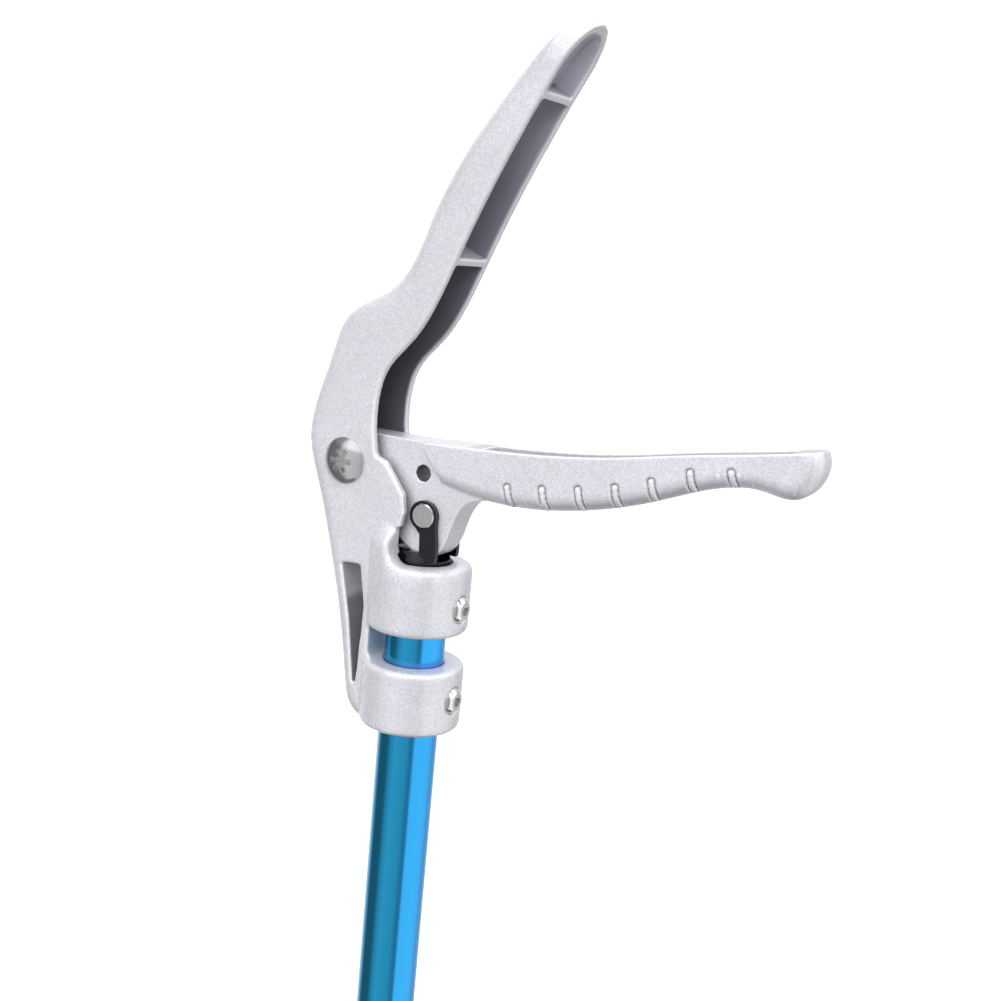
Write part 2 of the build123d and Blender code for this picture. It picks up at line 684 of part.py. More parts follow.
# ---- jaw head ---------------------------------------------------------------------------
with BuildPart() as jaw_head:
    with BuildSketch(Plane.XY.offset(HEAD_SHELF)):
        Circle(COLLAR_R)
    extrude(amount=HEAD_TOP - HEAD_SHELF)
    with BuildSketch(Plane.XZ):
        with BuildLine():
            Polyline(
                (-COLLAR_R, HEAD_SHELF + HEAD_NECK),
                (COLLAR_R, HEAD_SHELF + HEAD_NECK),
                (HEAD_HALF_X, HEAD_SHELF - HEAD_FLARE),
                (HEAD_HALF_X, HEAD_LOW + HEAD_CORNER),
                (HEAD_HALF_X - HEAD_CORNER, HEAD_LOW),
                (-HEAD_HALF_X + HEAD_CORNER, HEAD_LOW),
                (-HEAD_HALF_X, HEAD_LOW + HEAD_CORNER),
                (-HEAD_HALF_X, HEAD_SHELF - HEAD_FLARE),
                close=True,
            )
        make_face()
    extrude(amount=HEAD_OUTER, both=True)
    with BuildSketch(Plane.XZ):
        with Locations((0, HEAD_SHELF)):
            Rectangle(
                4 * HEAD_HALF_X, HEAD_SHELF - HEAD_LOW + 1, align=(Align.CENTER, Align.MAX)
            )
    extrude(amount=HEAD_INNER, both=True, mode=Mode.SUBTRACT)
    with BuildSketch(Plane.XY.offset(TUBE_END)):
        Circle(TUBE_R)
    extrude(amount=HEAD_TOP - TUBE_END, mode=Mode.SUBTRACT)
    with BuildSketch(Plane.XY.offset(HEAD_SHELF - 1)):
        Circle(TUBE_BORE_R)
    extrude(amount=TUBE_END - HEAD_SHELF + 1, mode=Mode.SUBTRACT)
    with BuildSketch(Plane.XZ):
        with Locations((-JAW_PIVOT_X, JAW_PIVOT_Z), (JAW_PIVOT_X, JAW_PIVOT_Z)):
            Circle(JAW_PIN_R)
    extrude(amount=2 * HEAD_OUTER, both=True, mode=Mode.SUBTRACT)
    with BuildSketch(Plane.YZ):
        with Locations(*[(0, height) for height in HEAD_SCREW_HEIGHTS]):
            Circle(CLAMP_SCREW_R)
    extrude(amount=COLLAR_R + 2, mode=Mode.SUBTRACT)
    with BuildSketch(Plane.YZ.offset(CLAMP_HEAD_LOW)):
        with Locations(*[(0, height) for height in HEAD_SCREW_HEIGHTS]):
            Circle(CLAMP_SEAT_R)
    extrude(amount=COLLAR_R - CLAMP_HEAD_LOW + 1, mode=Mode.SUBTRACT)
save(jaw_head.part, "jaw_head")

with BuildPart() as head_set_screws:
    for height in HEAD_SCREW_HEIGHTS:
        add(clamp_screw(height))
save(head_set_screws.part, "head_set_screws")

with BuildPart() as jaw_pivot_screws:
    for side in (-1, 1):
        add(
            domed_screw(
                side_face(side * JAW_PIVOT_X, -HEAD_OUTER, JAW_PIVOT_Z),
                JAW_SCREW_HEAD_R,
                SCREW_HEAD_HEIGHT,
                JAW_RECESS_R,
                JAW_PIN_R,
                2 * HEAD_OUTER + NUT_HEIGHT + SCREW_SHANK_PROUD,
            )
        )
save(jaw_pivot_screws.part, "jaw_pivot_screws")

with BuildPart() as jaw_pivot_nuts:
    for side in (-1, 1):
        far_cheek = side_face(side * JAW_PIVOT_X, HEAD_OUTER, JAW_PIVOT_Z)
        add(hex_nut(far_cheek, NUT_FLATS, NUT_HEIGHT, JAW_PIN_R))
save(jaw_pivot_nuts.part, "jaw_pivot_nuts")

# ---- jaws, drawn closed in a frame at their pivot that is then swung open -----------------
for label, side in (("left", -1), ("right", 1)):
    # In this frame +x points from the pivot towards the other jaw and +y points up.
    open_turn = radians(JAW_SWING)
    swung = Plane(
        origin=(side * JAW_PIVOT_X, 0, JAW_PIVOT_Z),
        x_dir=(-side * cos(open_turn), 0, -sin(open_turn)),
        z_dir=(0, side, 0),
    )
    arm_reach = JAW_PIVOT_X / cos(radians(JAW_HALF_SWING))
    with BuildPart() as jaw:
        with BuildSketch(swung):
            with BuildLine():
                Spline((-JAW_HUB_R, 0), *JAW_BACK)
                Polyline(
                    JAW_BACK[-1],
                    (PAD_FACE - PAD_THICK, PAD_LOW),
                    (PAD_FACE - PAD_THICK, PAD_TOP),
                )
                Spline((PAD_FACE - PAD_THICK, PAD_TOP), *JAW_FRONT, (JAW_HUB_R, 0))
                Line((JAW_HUB_R, 0), (-JAW_HUB_R, 0))
            make_face()
        extrude(amount=JAW_FINGER_HALF, both=True)
        with BuildSketch(swung):
            Circle(JAW_HUB_R)
        extrude(amount=JAW_HUB_HALF, both=True)
        # Drive arm in its own half of the width, so that the two jaws' arms pass each other.
        with BuildSketch(swung.offset(JAW_ARM_INNER)):
            with Locations(Location((0, 0), JAW_HALF_SWING)):
                Rectangle(
                    arm_reach + JAW_ARM_PAST_PIN, JAW_ARM_WIDTH, align=(Align.MIN, Align.CENTER)
                )
        extrude(amount=JAW_ARM_OUTER - JAW_ARM_INNER)
        with BuildSketch(swung):
            with Locations(Location((0, 0), JAW_HALF_SWING)):
                with Locations((arm_reach - DRIVE_SLOT_SHIFT, 0)):
                    SlotCenterToCenter(DRIVE_SLOT_RUN, 2 * DRIVE_SLOT_R)
            Circle(JAW_PIN_R + RUNNING_FIT)
        extrude(amount=2 * JAW_HUB_HALF, both=True, mode=Mode.SUBTRACT)
    save(jaw.part, label + "_jaw")

    # Rubber pad on the finger's flat, with cross grooves in its gripping face.
    with BuildPart() as pad:
        with BuildSketch(swung):
            with Locations((PAD_FACE, (PAD_TOP + PAD_LOW) / 2)):
                Rectangle(PAD_THICK, PAD_TOP - PAD_LOW, align=(Align.MAX, Align.CENTER))
        extrude(amount=PAD_HALF, both=True)
        with BuildSketch(swung):
            with Locations((PAD_FACE, (PAD_TOP + PAD_LOW) / 2)):
                with GridLocations(0, PAD_GROOVE_PITCH, 1, PAD_GROOVES):
                    Rectangle(2 * PAD_GROOVE_DEPTH, PAD_GROOVE_DEPTH)
        extrude(amount=PAD_HALF, both=True, mode=Mode.SUBTRACT)
    save(pad.part, label + "_jaw_pad")
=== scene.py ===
import json
import math

import bmesh
import bpy
import numpy as np
from mathutils import Matrix, Vector

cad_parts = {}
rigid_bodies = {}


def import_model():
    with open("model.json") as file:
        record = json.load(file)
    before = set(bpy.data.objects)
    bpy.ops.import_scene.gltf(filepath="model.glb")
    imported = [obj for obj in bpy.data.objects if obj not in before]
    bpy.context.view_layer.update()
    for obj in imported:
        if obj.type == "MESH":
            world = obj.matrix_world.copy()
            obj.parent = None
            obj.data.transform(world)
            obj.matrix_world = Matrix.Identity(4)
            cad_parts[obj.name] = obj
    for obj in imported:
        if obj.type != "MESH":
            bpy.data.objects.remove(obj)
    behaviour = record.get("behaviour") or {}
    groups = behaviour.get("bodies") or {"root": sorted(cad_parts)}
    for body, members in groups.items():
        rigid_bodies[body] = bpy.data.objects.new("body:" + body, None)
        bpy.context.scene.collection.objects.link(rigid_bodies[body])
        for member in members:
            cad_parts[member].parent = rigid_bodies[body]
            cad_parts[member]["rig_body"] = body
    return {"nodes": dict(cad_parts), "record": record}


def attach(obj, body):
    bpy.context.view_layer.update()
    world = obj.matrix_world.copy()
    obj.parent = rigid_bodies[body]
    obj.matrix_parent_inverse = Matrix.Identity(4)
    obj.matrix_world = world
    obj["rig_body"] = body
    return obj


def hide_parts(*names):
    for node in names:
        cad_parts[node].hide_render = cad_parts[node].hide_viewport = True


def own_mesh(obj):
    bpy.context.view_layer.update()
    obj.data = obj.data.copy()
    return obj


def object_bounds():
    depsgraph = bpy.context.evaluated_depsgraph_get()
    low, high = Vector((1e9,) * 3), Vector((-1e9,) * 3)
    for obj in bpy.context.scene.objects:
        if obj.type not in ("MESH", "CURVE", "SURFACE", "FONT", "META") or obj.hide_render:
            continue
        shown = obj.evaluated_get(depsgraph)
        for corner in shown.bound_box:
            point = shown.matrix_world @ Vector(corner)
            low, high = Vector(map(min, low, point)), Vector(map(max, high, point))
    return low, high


# Lever-handled reacher grabber: looks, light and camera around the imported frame. Metres; the Z
# axis is the tube's axis and the origin lies on it at the lower clamp collar's bottom face.
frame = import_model()
cad_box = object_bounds()
MM = 0.001


# ---- colour and node helpers ------------------------------------------------------------
def linear(hex_code, alpha=1.0):
    """An sRGB hex colour as linear red, green, blue and alpha."""
    channels = [int(hex_code[i:i + 2], 16) / 255 for i in (1, 3, 5)]
    return tuple(
        c / 12.92 if c <= 0.04045 else ((c + 0.055) / 1.055) ** 2.4 for c in channels
    ) + (alpha,)


def add_node(material, kind, settings=None, **links):
    """Adds a node. A link is an input's name with the socket it comes from, or a plain value;
    spaces in an input's name are written as underscores, and a number in a name is its index."""
    node = material.node_tree.nodes.new("ShaderNode" + kind)
    for name, value in (settings or {}).items():
        setattr(node, name, value)
    for name, source in links.items():
        key = int(name[3:]) if name.startswith("in_") else name.replace("_", " ")
        if isinstance(source, bpy.types.NodeSocket):
            material.node_tree.links.new(source, node.inputs[key])
        else:
            node.inputs[key].default_value = source
    return node


def new_material(name):
    """A material with its shader and its coordinates in metres on the object."""
    material = bpy.data.materials.new(name)
    material.use_nodes = True
    material.node_tree.nodes.clear()
    shader = add_node(material, "BsdfPrincipled")
    add_node(material, "OutputMaterial", Surface=shader.outputs["BSDF"])
    place = add_node(material, "TexCoord").outputs["Object"]
    return material, shader, place


def feed(material, source, target):
    material.node_tree.links.new(source, target)


def ramp(material, source, stops):
    """A colour ramp over a value: stops are (position, hex colour)."""
    node = add_node(material, "ValToRGB", Fac=source)
    elements = node.color_ramp.elements
    while len(elements) < len(stops):
        elements.new(0.5)
    for element, (position, hex_code) in zip(elements, stops):
        element.position = position
        element.color = linear(hex_code)
    return node.outputs["Color"]


# ---- materials --------------------------------------------------------------------------
def metallic_paint():
    """Silver metallic paint, sprayed on a die casting: aluminium flakes sparkle in it, and it
    dries with a slight orange peel. In the open channels the colour is painted shade, darker
    the further down from the nose, and the paint is less metallic there."""
    material, shader, place = new_material("silver metallic paint")
    flake = 0.3 * MM
    peel = 1.3 * MM
    flakes = add_node(material, "TexVoronoi", Vector=place, Scale=1 / flake)
    flake_parts = add_node(material, "SeparateColor", Color=flakes.outputs["Color"])
    cloud = add_node(material, "TexNoise", Vector=place, Scale=1 / (14 * MM), Detail=3.0)
    flake_tone = add_node(
        material, "MapRange", Value=flake_parts.outputs["Red"], To_Min=0.82, To_Max=1.08
    ).outputs["Result"]
    paint = ramp(material, cloud.outputs["Fac"], [(0.3, "#d2d3d8"), (0.7, "#dadbe0")])
    sparkle = add_node(
        material, "Mix", {"data_type": "RGBA", "blend_type": "MULTIPLY"},
        in_0=1.0, in_6=paint, in_7=flake_tone,
    ).outputs[2]
    # Painted shade: the open channels, the fin's window, the lever's hollow and the lanyard hole
    # get a darker colour where shade falls in them.
    shaded_inside = add_node(material, "Attribute", {"attribute_name": "shaded_inside"}).outputs["Fac"]
    height = add_node(material, "SeparateXYZ", Vector=place).outputs["Z"]
    depth = add_node(
        material, "MapRange", Value=height, From_Min=70 * MM, From_Max=180 * MM
    ).outputs["Result"]
    # The painted shade's colour: dark grey low down, lightening with a lilac tint towards the nose.
    painted_channel_shade = ramp(material, depth, [
        (0.0, "#5c5c62"), (0.35, "#7a7983"), (0.65, "#a3a1ae"), (0.85, "#c8c6d2"),
        (1.0, "#f0eef6"),
    ])
    colour = add_node(
        material, "Mix", {"data_type": "RGBA"}, in_0=shaded_inside, in_6=sparkle, in_7=painted_channel_shade
    ).outputs[2]
    # The paint is lighter along the convex edges, as painted highlight and slight wear, and darker
    # in the creases and corners as painted shade.
    soft_skin = add_node(material, "Attribute", {"attribute_name": "soft_skin"}).outputs["Fac"]
    bend = add_node(material, "NewGeometry").outputs["Pointiness"]
    crease_shade = ramp(material, bend, [(0.44, "#8a8a90"), (0.485, "#ffffff")])
    crease_shaded = add_node(
        material, "Mix", {"data_type": "RGBA", "blend_type": "MULTIPLY"},
        in_0=soft_skin, in_6=colour, in_7=crease_shade,
    ).outputs[2]
    convex_edges = add_node(
        material, "MapRange", Value=bend, From_Min=0.515, From_Max=0.56
    ).outputs["Result"]
    edge_wear_and_highlight = add_node(
        material, "Math", {"operation": "MULTIPLY"}, in_0=convex_edges, in_1=soft_skin
    ).outputs["Value"]
    # Painted highlight colour laid along the convex edges.
    edges_lightened = add_node(
        material, "Mix", {"data_type": "RGBA"}, in_0=edge_wear_and_highlight, in_6=crease_shaded, in_7=linear("#f4f4f6")
    ).outputs[2]
    feed(material, edges_lightened, shader.inputs["Base Color"])
    metal_share = add_node(
        material, "MapRange", Value=shaded_inside, To_Min=0.38, To_Max=0.1).outputs["Result"]
    feed(material, metal_share, shader.inputs["Metallic"])
    roughness = add_node(
        material, "MapRange", Value=flake_parts.outputs["Green"], To_Min=0.3, To_Max=0.44
    ).outputs["Result"]
    feed(material, roughness, shader.inputs["Roughness"])
    shader.inputs["Coat Weight"].default_value = 0.2
    shader.inputs["Coat Roughness"].default_value = 0.18
    orange_peel = add_node(material, "TexNoise", Vector=place, Scale=1 / peel, Detail=1.0)
    bump = add_node(
        material, "Bump", Strength=0.07, Distance=0.1 * MM, Height=orange_peel.outputs["Fac"]
    )
    fine = add_node(
        material, "Bump", Strength=0.16, Distance=0.02 * MM,
        Height=flakes.outputs["Distance"], Normal=bump.outputs["Normal"],
    )
    feed(material, fine.outputs["Normal"], shader.inputs["Normal"])
    return material


def coated_tube_steel():
    """Polished stainless tube with a thin titanium coating: deep blue that drifts a little
    between teal and violet round the tube, violet where the coat thins out beside the clamps,
    and fine drawing lines along it."""
    material, shader, place = new_material("blue coated stainless steel")
    stretched = add_node(material, "Mapping", Vector=place, Scale=(1.0, 1.0, 0.004))
    lines = add_node(
        material, "TexNoise", Vector=stretched.outputs["Vector"], Scale=1 / (0.25 * MM), Detail=3.0
    )
    bands = add_node(
        material, "TexNoise", Vector=stretched.outputs["Vector"], Scale=1 / (5 * MM), Detail=1.0
    )
    blue = ramp(
        material, bands.outputs["Fac"], [(0.35, "#30b0da"), (0.5, "#34aae0"), (0.65, "#369ee2")]
    )
    height = add_node(material, "SeparateXYZ", Vector=place).outputs["Z"]
    along = add_node(
        material, "MapRange", Value=height, From_Min=-10 * MM, From_Max=30 * MM
    ).outputs["Result"]
    thin_coat = ramp(material, along, [
        (0.2, "#000000"), (0.25, "#808080"), (0.69, "#b0b0b0"), (0.715, "#000000"),
        (0.87, "#000000"), (0.92, "#c0c0c0"),
    ])
    colour = add_node(
        material, "Mix", {"data_type": "RGBA"},
        in_0=thin_coat, in_6=blue, in_7=linear("#8a56c4"),
    ).outputs[2]
    feed(material, colour, shader.inputs["Base Color"])
    shader.inputs["Metallic"].default_value = 1.0
    roughness = add_node(
        material, "MapRange", Value=lines.outputs["Fac"], To_Min=0.1, To_Max=0.22
    ).outputs["Result"]
    feed(material, roughness, shader.inputs["Roughness"])
    bump = add_node(
        material, "Bump", Strength=0.06, Distance=0.02 * MM, Height=lines.outputs["Fac"]
    )
    feed(material, bump.outputs["Normal"], shader.inputs["Normal"])
    return material


def machined_metal(name, dark, light, rough_low, rough_high, grain_mm, lay_scale):
    """A turned, drawn or plated metal: fine tool marks along one direction set its shine."""
    material, shader, place = new_material(name)
    stretched = add_node(material, "Mapping", Vector=place, Scale=lay_scale)
    marks = add_node(
        material, "TexNoise", Vector=stretched.outputs["Vector"], Scale=1 / (grain_mm * MM),
        Detail=4.0,
    )
    colour = ramp(material, marks.outputs["Fac"], [(0.3, dark), (0.7, light)])
    feed(material, colour, shader.inputs["Base Color"])
    shader.inputs["Metallic"].default_value = 1.0
    roughness = add_node(
        material, "MapRange", Value=marks.outputs["Fac"], To_Min=rough_low, To_Max=rough_high
    ).outputs["Result"]
    feed(material, roughness, shader.inputs["Roughness"])
    bump = add_node(
        material, "Bump", Strength=0.1, Distance=0.02 * MM, Height=marks.outputs["Fac"]
    )
    feed(material, bump.outputs["Normal"], shader.inputs["Normal"])
    return material


def moulded(name, dark, light, rough_low, rough_high, grain_mm, bump_strength):
    """A moulded or coated material: slight clouding and a fine surface grain."""
    material, shader, place = new_material(name)
    grain = add_node(
        material, "TexNoise", Vector=place, Scale=1 / (grain_mm * MM), Detail=3.0
    )
    cloud = add_node(material, "TexNoise", Vector=place, Scale=1 / (9 * MM), Detail=2.0)
    feed(material, ramp(material, cloud.outputs["Fac"], [(0.3, dark), (0.7, light)]),
         shader.inputs["Base Color"])
    roughness = add_node(
        material, "MapRange", Value=grain.outputs["Fac"], To_Min=rough_low, To_Max=rough_high
    ).outputs["Result"]
    feed(material, roughness, shader.inputs["Roughness"])
    bump = add_node(
        material, "Bump", Strength=bump_strength, Distance=0.05 * MM, Height=grain.outputs["Fac"]
    )
    feed(material, bump.outputs["Normal"], shader.inputs["Normal"])
    return material


paint = metallic_paint()
tube_steel = coated_tube_steel()
# Screws and pins: bright, with sharp light and dark patches mirrored from the studio.
polished_steel = machined_metal(
    "polished stainless steel", "#cfcecc", "#e4e3e1", 0.06, 0.16, 0.15, (1, 1, 1))
# Nuts, ring, collar and rod end: a duller, slightly bluish silver.
zinc_plate = machined_metal("zinc plated steel", "#a9abb2", "#c0c2c6", 0.28, 0.42, 0.3, (1, 1, 1))
# Pull rod: grey, with long faint lines from the drawing die.
drawn_rod = machined_metal("drawn steel rod", "#9a9ba0", "#b4b5b9", 0.22, 0.36, 0.2, (1, 1, 0.01))
# Return spring: dark grey, with a soft shine.
spring_wire = machined_metal("spring steel wire", "#6b6c70", "#85868a", 0.25, 0.4, 0.2, (1, 1, 1))
# Bearing sleeve: brown and nearly matt, from its pores.
bronze = machined_metal("sintered bronze", "#8c6a3a", "#a9854e", 0.4, 0.55, 0.2, (1, 1, 1))
# Fork: deep black, and glossy enough to show light edges.
black_fork = moulded("black glossy coating", "#08080a", "#0f0f12", 0.1, 0.2, 0.35, 0.04)
# Spacers and bushes: milky white and waxy.
acetal = moulded("turned acetal", "#dcdad2", "#e6e4dc", 0.4, 0.55, 0.3, 0.05)
# Jaw pads: charcoal and matt, with a fine grain.
rubber = moulded("moulded rubber", "#1b1b1d", "#262629", 0.62, 0.8, 0.25, 0.25)

FINISHES = {
    "cast": paint, "jaw_cast": paint, "blue_tube": tube_steel, "black": black_fork,
    "steel": polished_steel, "zinc": zinc_plate, "rod_steel": drawn_rod,
    "spring_steel": spring_wire, "bush": acetal, "bronze": bronze, "rubber": rubber,
}
slots = {part["node"]: part["material_slot"] for part in frame["record"]["subparts"]}
for node_name, node_object in frame["nodes"].items():
    node_object.data.materials.clear()
    node_object.data.materials.append(FINISHES[slots[node_name]])


# ---- castings with soft, as-cast edges --------------------------------------------------
# Places in side view (x, z) in mm, and the way that the handle's open rim faces there.
NOSE = (37.0, 178.4)
RIM_FACING = (0.908, -0.418)
RIBS = ((26.8, 161.7), (7.2, 121.8))
LANYARD_HOLE = (0.9, 68.2)
BEAD_TOPS = (
    (26.0, 70.3), (35.5, 71.4), (45.0, 73.0), (54.4, 75.1), (63.3, 78.0), (72.4, 81.6),
    (82.0, 83.2),
)

# Finger ridges: a raised bead inside a shallow groove.
BEAD_HALF = 0.75
BEAD_HEIGHT = 0.25
BEAD_LEAN = 0.22
GROOVE_HALF = 1.35
GROOVE_DEPTH = 0.45

# How much painted shade darkens the fin's window and the lever's hollow.
WINDOW_SHADE = 0.7
HOLLOW_SHADE = 0.4


def to_array(mesh):
    """The vertices' places and normals of a mesh in metres, as two arrays."""
    places = np.empty(len(mesh.vertices) * 3)
    normals = np.empty(len(mesh.vertices) * 3)
    mesh.vertices.foreach_get("co", places)
    mesh.vertices.foreach_get("normal", normals)
    return places.reshape(-1, 3), normals.reshape(-1, 3)


def step_up(value, low, high):
    """Rises smoothly from 0 to 1 between two values; falls if low is above high."""
    t = np.clip((value - low) / (high - low), 0, 1)
    return t * t * (3 - 2 * t)


def baked(piece):
    """Applies a piece's modifiers to its mesh."""
    bpy.context.view_layer.update()
    depsgraph = bpy.context.evaluated_depsgraph_get()
    mesh = bpy.data.meshes.new_from_object(piece.evaluated_get(depsgraph))
    piece.modifiers.clear()
    piece.vertex_groups.clear()
    piece.data = mesh
    return mesh


def soften(piece, steps, weights=None):
    """Smooths a piece, by different amounts over its surface where weights are given."""
    smooth = piece.modifiers.new("soften", "SMOOTH")
    smooth.factor = 0.5
    smooth.iterations = steps
    if weights is not None:
        group = piece.vertex_groups.new(name="soft")
        for index in np.flatnonzero(weights > 0.01):
            group.add([int(index)], float(weights[index]), "REPLACE")
        smooth.vertex_group = "soft"
    return baked(piece)


def casting_skin(node_name, voxel_mm):
    """A close-meshed copy of a casting, ready to have its edges rounded."""
    source = frame["nodes"][node_name]
    piece = bpy.data.objects.new(node_name + "_soft", source.data.copy())
    bpy.context.scene.collection.objects.link(piece)
    remesh = piece.modifiers.new("skin", "REMESH")
    remesh.mode = "VOXEL"
    remesh.voxel_size = voxel_mm * MM
    remesh.use_smooth_shade = True
    baked(piece)
    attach(piece, source["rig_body"])
    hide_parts(node_name)
    return piece


def finish_casting(piece, node_name, shaded_inside):
    """Gives a casting its paint, with the painted shade in its channels and hollows marked."""
    mesh = piece.data
    mesh.name = node_name + "_soft"
    mesh.materials.clear()
    mesh.materials.append(FINISHES[slots[node_name]])
    layer = mesh.attributes.new("shaded_inside", "FLOAT", "POINT")
    layer.data.foreach_set("value", shaded_inside.astype(np.float32))
    skin = mesh.attributes.new("soft_skin", "FLOAT", "POINT")
    skin.data.foreach_set("value", np.ones(len(mesh.vertices), dtype=np.float32))


# Handle: soft edges all over, and a broad round where the upper collar's shoulder runs over
# into the mouth around the fork.
handle = casting_skin("handle_body", 0.4)
places, normals = to_array(soften(handle, 5))
x, y, z = places.T / MM
radius = np.hypot(x, y)
shoulder = (
    step_up(radius, 9.2, 11.0) * step_up(z, 41.0, 43.5) * step_up(z, 56.0, 53.0)
    * step_up(x, -9.5, -7.0)
)
places, normals = to_array(soften(handle, 150, shoulder))
x, y, z = places.T / MM
# Painted shade on the open channel's side walls and back below the rim, and in the fin's window;
# the rib fronts are left out.
across = normals[:, 1] * np.sign(y)
into_channel = normals[:, 0] * RIM_FACING[0] + normals[:, 2] * RIM_FACING[1]
wall_side = step_up(across, -0.35, -0.75) * step_up(np.abs(y), 6.9, 6.75)
back_side = step_up(into_channel, 0.1, 0.3) * step_up(np.abs(y), 6.7, 6.4)
past_rim = RIM_FACING[0] * (x - NOSE[0]) + RIM_FACING[1] * (z - NOSE[1])
rim_clear = step_up(past_rim, -0.4, -1.6)
shaded_inside = np.maximum(wall_side, back_side * rim_clear) * step_up(z, 46.0, 49.0)
window = (
    step_up(x, -17.6, -17.0) * step_up(x, -10.6, -11.4) * step_up(z, 7.4, 8.2)
    * step_up(z, 43.2, 42.4) * step_up(np.abs(y), 8.5, 8.0) * step_up(np.abs(across), 0.6, 0.4)
)
shaded_inside = np.maximum(shaded_inside, window * WINDOW_SHADE)
rib_fronts = np.zeros(len(x))
for rib_x, rib_z in RIBS:
    rib_fronts = np.maximum(
        rib_fronts, step_up(np.hypot(x - rib_x, z - rib_z), 2.6, 1.8) * step_up(across, -0.6, -0.4)
    )
finish_casting(handle, "handle_body", shaded_inside * (1 - rib_fronts))

# Lever: its grip carries seven slanting finger ridges that wrap round under it.
lever = casting_skin("lever", 0.3)
places, normals = to_array(soften(lever, 3))
x, y, z = places.T / MM
relief = np.zeros(len(x))
outer = step_up(np.abs(y), 3.0, 3.6) * step_up(normals[:, 1] * np.sign(y) - normals[:, 2], 0.2, 0.5)
for top_x, top_z in BEAD_TOPS:
    below = np.maximum(top_z - GROOVE_HALF - z, 0)
    beyond = np.maximum(z - (top_z - GROOVE_HALF), 0)
    side = x - top_x - BEAD_LEAN * np.minimum(below, 7.0)
    away = np.hypot(side, beyond)
    fade = step_up(below, 7.5, 5.5)
    bead = step_up(away, BEAD_HALF, 0.25) * BEAD_HEIGHT
    groove = step_up(away, GROOVE_HALF, 1.0) * step_up(away, 0.6, 0.85) * -GROOVE_DEPTH
    relief += (bead + groove) * fade * outer
places += normals * (relief * MM)[:, None]
lever.data.vertices.foreach_set("co", places.ravel())
lever.data.update()
across = normals[:, 1] * np.sign(y)
# Painted shade in the lever's hollow and in the lanyard hole.
hollow = step_up(np.abs(y), 4.5, 4.2) * step_up(x, 12.0, 14.0) * step_up(z, 60.0, 64.0)
facing_in = np.maximum(step_up(across, -0.35, -0.75), step_up(normals[:, 2], 0.5, 0.8))
from_hole = np.hypot(x - LANYARD_HOLE[0], z - LANYARD_HOLE[1])
lanyard_hole = step_up(from_hole, 2.4, 2.3) * step_up(np.abs(y), 4.4, 4.0)
finish_casting(lever, "lever", np.maximum(hollow * facing_in * HOLLOW_SHADE, lanyard_hole))


# Return spring: a copy of the coil, carried by its rigid body.
coil = frame["nodes"]["return_spring"]
spring = bpy.data.objects.new("return_spring_coil", coil.data.copy())
bpy.context.scene.collection.objects.link(spring)
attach(spring, coil["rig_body"])
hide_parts("return_spring")
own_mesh(spring)


# ---- floor, light and camera --------------------------------------------------------------
def grid_object(name, columns, rows, place):
    """A stage piece made of a grid of points given by place(u, v), both from 0 to 1."""
    builder = bmesh.new()
    points = [
        [builder.verts.new(place(c / columns, r / rows)) for c in range(columns + 1)]
        for r in range(rows + 1)
    ]
    for r in range(rows):
        for c in range(columns):
            builder.faces.new(
                (points[r][c], points[r][c + 1], points[r + 1][c + 1], points[r + 1][c]))
    mesh = bpy.data.meshes.new(name)
    builder.to_mesh(mesh)
    builder.free()
    obj = bpy.data.objects.new(name, mesh)
    bpy.context.scene.collection.objects.link(obj)
    return obj


FLOOR_HALF = 30.0
floor_level = cad_box[0][2] - 0.0005
floor = grid_object(
    "floor", 8, 8,
    lambda u, v: (FLOOR_HALF * (2 * u - 1), FLOOR_HALF * (2 * v - 1), floor_level))
floor.data.materials.append(
    moulded("pale matt floor", "#f2f2f2", "#f6f6f6", 0.75, 0.85, 4.0, 0.02))

# Light from all round, fullest from above, behind and the left, and weak from below and from
# the right. The floor is left out of it, so that it throws no glare up at the object.
floor.visible_diffuse = False
floor.visible_glossy = False
FULLEST_LIGHT = (-0.35, 0.3, 0.85)
world = bpy.data.worlds.new("soft studio")
bpy.context.scene.world = world
world.use_nodes = True
facing = add_node(
    world, "VectorMath", {"operation": "DOT_PRODUCT"},
    in_0=add_node(world, "TexCoord").outputs["Generated"], in_1=FULLEST_LIGHT,
).outputs["Value"]
brightness = add_node(
    world, "MapRange", Value=facing, From_Min=-0.7, From_Max=0.05, To_Min=0.22, To_Max=1.08
).outputs["Result"]
backdrop = world.node_tree.nodes["Background"]
backdrop.inputs["Color"].default_value = (1.0, 1.0, 1.0, 1.0)
feed(world, brightness, backdrop.inputs["Strength"])

# What shiny surfaces mirror: a round studio wall whose panels run from dark cloth to lit white
# cloth, with a row of lamps above. Degrees are counted from straight in front (-Y) towards the
# lever's side (+X).
WALL_PANELS = (
    (0, "#c0c0c4"), (34, "#b4b4b8"), (45, "#98989c"), (56, "#98989c"), (62, "#ffffff"),
    (130, "#ffffff"), (150, "#b8b8bc"), (240, "#f0f0f0"), (262, "#b0b0b4"), (272, "#66666a"),
    (314, "#707074"), (324, "#a4a4a8"), (345, "#c4c4c8"), (360, "#c0c0c4"),
)
WALL_BRIGHTNESS = 1.25
WALL_RADIUS = 1.2
WALL_BELOW_FLOOR = 1.5
WALL_HEIGHT = 4.5
LAMP_ROW_LOW = 0.5
LAMP_ROW_HIGH = 0.8
LAMP_ROW_BRIGHTNESS = 1.8 * WALL_BRIGHTNESS
wall = grid_object(
    "studio_wall", 72, 1,
    lambda u, v: (
        WALL_RADIUS * math.sin(2 * math.pi * u),
        -WALL_RADIUS * math.cos(2 * math.pi * u),
        floor_level - WALL_BELOW_FLOOR + WALL_HEIGHT * v,
    ))
wall.visible_camera = False
wall.visible_diffuse = False
wall.visible_shadow = False
wall_cloth = bpy.data.materials.new("studio wall cloth")
wall_cloth.use_nodes = True
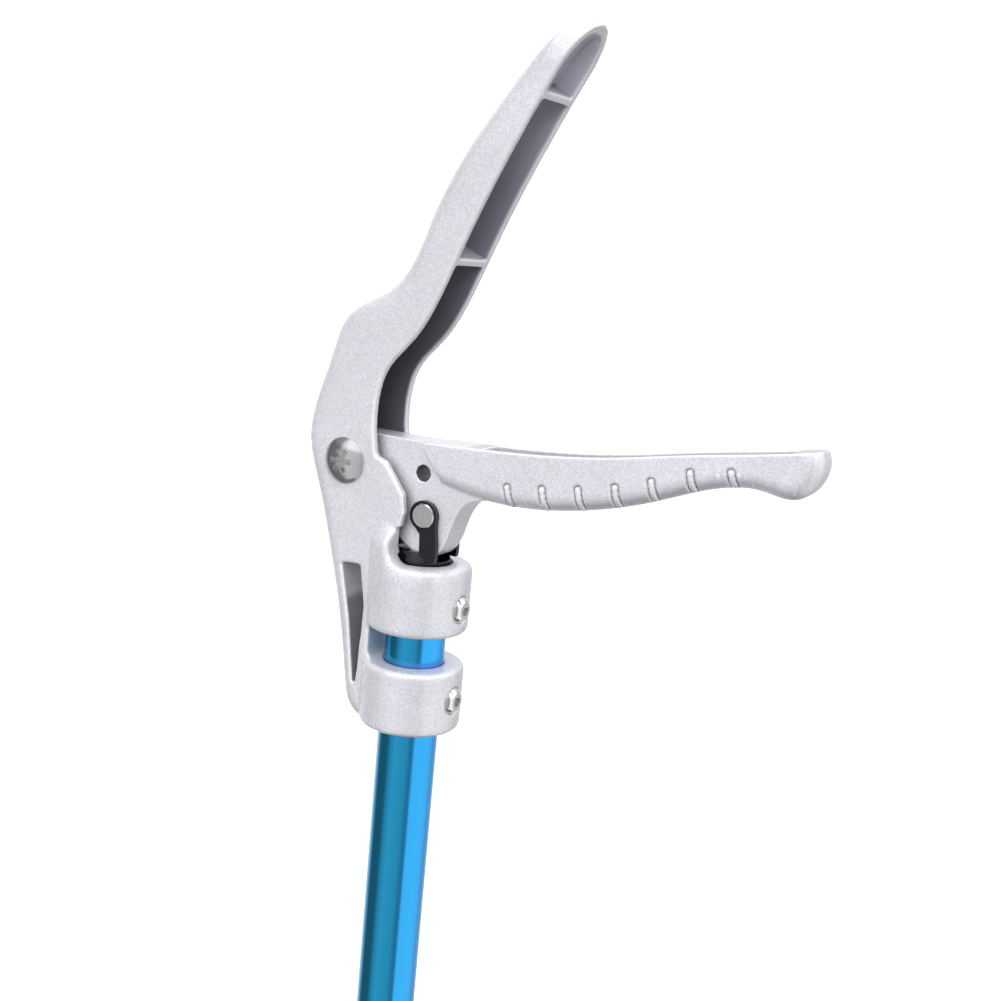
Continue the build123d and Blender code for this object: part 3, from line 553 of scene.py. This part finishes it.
wall_cloth.node_tree.nodes.clear()
spot = add_node(wall_cloth, "TexCoord").outputs["Object"]
turned = add_node(wall_cloth, "Mapping", Vector=spot, Rotation=(0, 0, math.radians(-90)))
around = add_node(
    wall_cloth, "TexGradient", {"gradient_type": "RADIAL"}, Vector=turned.outputs["Vector"]
).outputs["Fac"]
panels = ramp(wall_cloth, around, [(degree / 360, code) for degree, code in WALL_PANELS])
level = add_node(wall_cloth, "SeparateXYZ", Vector=spot).outputs["Z"]
lamp_row = add_node(
    wall_cloth, "MapRange", Value=level, From_Min=LAMP_ROW_LOW, From_Max=LAMP_ROW_HIGH,
    To_Min=WALL_BRIGHTNESS, To_Max=LAMP_ROW_BRIGHTNESS,
).outputs["Result"]
glow = add_node(wall_cloth, "Emission", Color=panels, Strength=lamp_row)
add_node(wall_cloth, "OutputMaterial", Surface=glow.outputs["Emission"])
wall.data.materials.append(wall_cloth)

# One very broad light from the front and above, as through a cloth screen.
LIGHT_TRAVEL = (-0.05, 0.82, -0.62)
broad_light = bpy.data.lights.new("broad_light", "SUN")
broad_light.angle = math.radians(70)
broad_light.energy = 2.8
screen = bpy.data.objects.new("broad_light", broad_light)
screen.rotation_euler = Vector(LIGHT_TRAVEL).to_track_quat("-Z", "Y").to_euler()
bpy.context.scene.collection.objects.link(screen)

CAMERA_SPOT = Vector((172.0, -283.1, 126.7)) * MM
CAMERA_AZIMUTH = math.radians(28.0)
CAMERA_ELEVATION = math.radians(11.03)
CAMERA_ROLL = math.radians(-5.4)
CAMERA_LENS_MM = 46.75

back = Vector((
    math.sin(CAMERA_AZIMUTH) * math.cos(CAMERA_ELEVATION),
    -math.cos(CAMERA_AZIMUTH) * math.cos(CAMERA_ELEVATION),
    math.sin(CAMERA_ELEVATION),
))
level_right = (-back).cross(Vector((0, 0, 1))).normalized()
level_up = level_right.cross(-back)
right = level_right * math.cos(CAMERA_ROLL) - level_up * math.sin(CAMERA_ROLL)
up = level_right * math.sin(CAMERA_ROLL) + level_up * math.cos(CAMERA_ROLL)
camera_data = bpy.data.cameras.new("camera")
camera_data.lens = CAMERA_LENS_MM
camera_data.sensor_width = 36.0
camera_data.clip_start = 0.01
camera = bpy.data.objects.new("camera", camera_data)
camera.matrix_world = Matrix((
    (right.x, up.x, back.x, CAMERA_SPOT.x),
    (right.y, up.y, back.y, CAMERA_SPOT.y),
    (right.z, up.z, back.z, CAMERA_SPOT.z),
    (0, 0, 0, 1),
))
bpy.context.scene.collection.objects.link(camera)
bpy.context.scene.camera = camera
bpy.context.scene.view_settings.view_transform = "Standard"
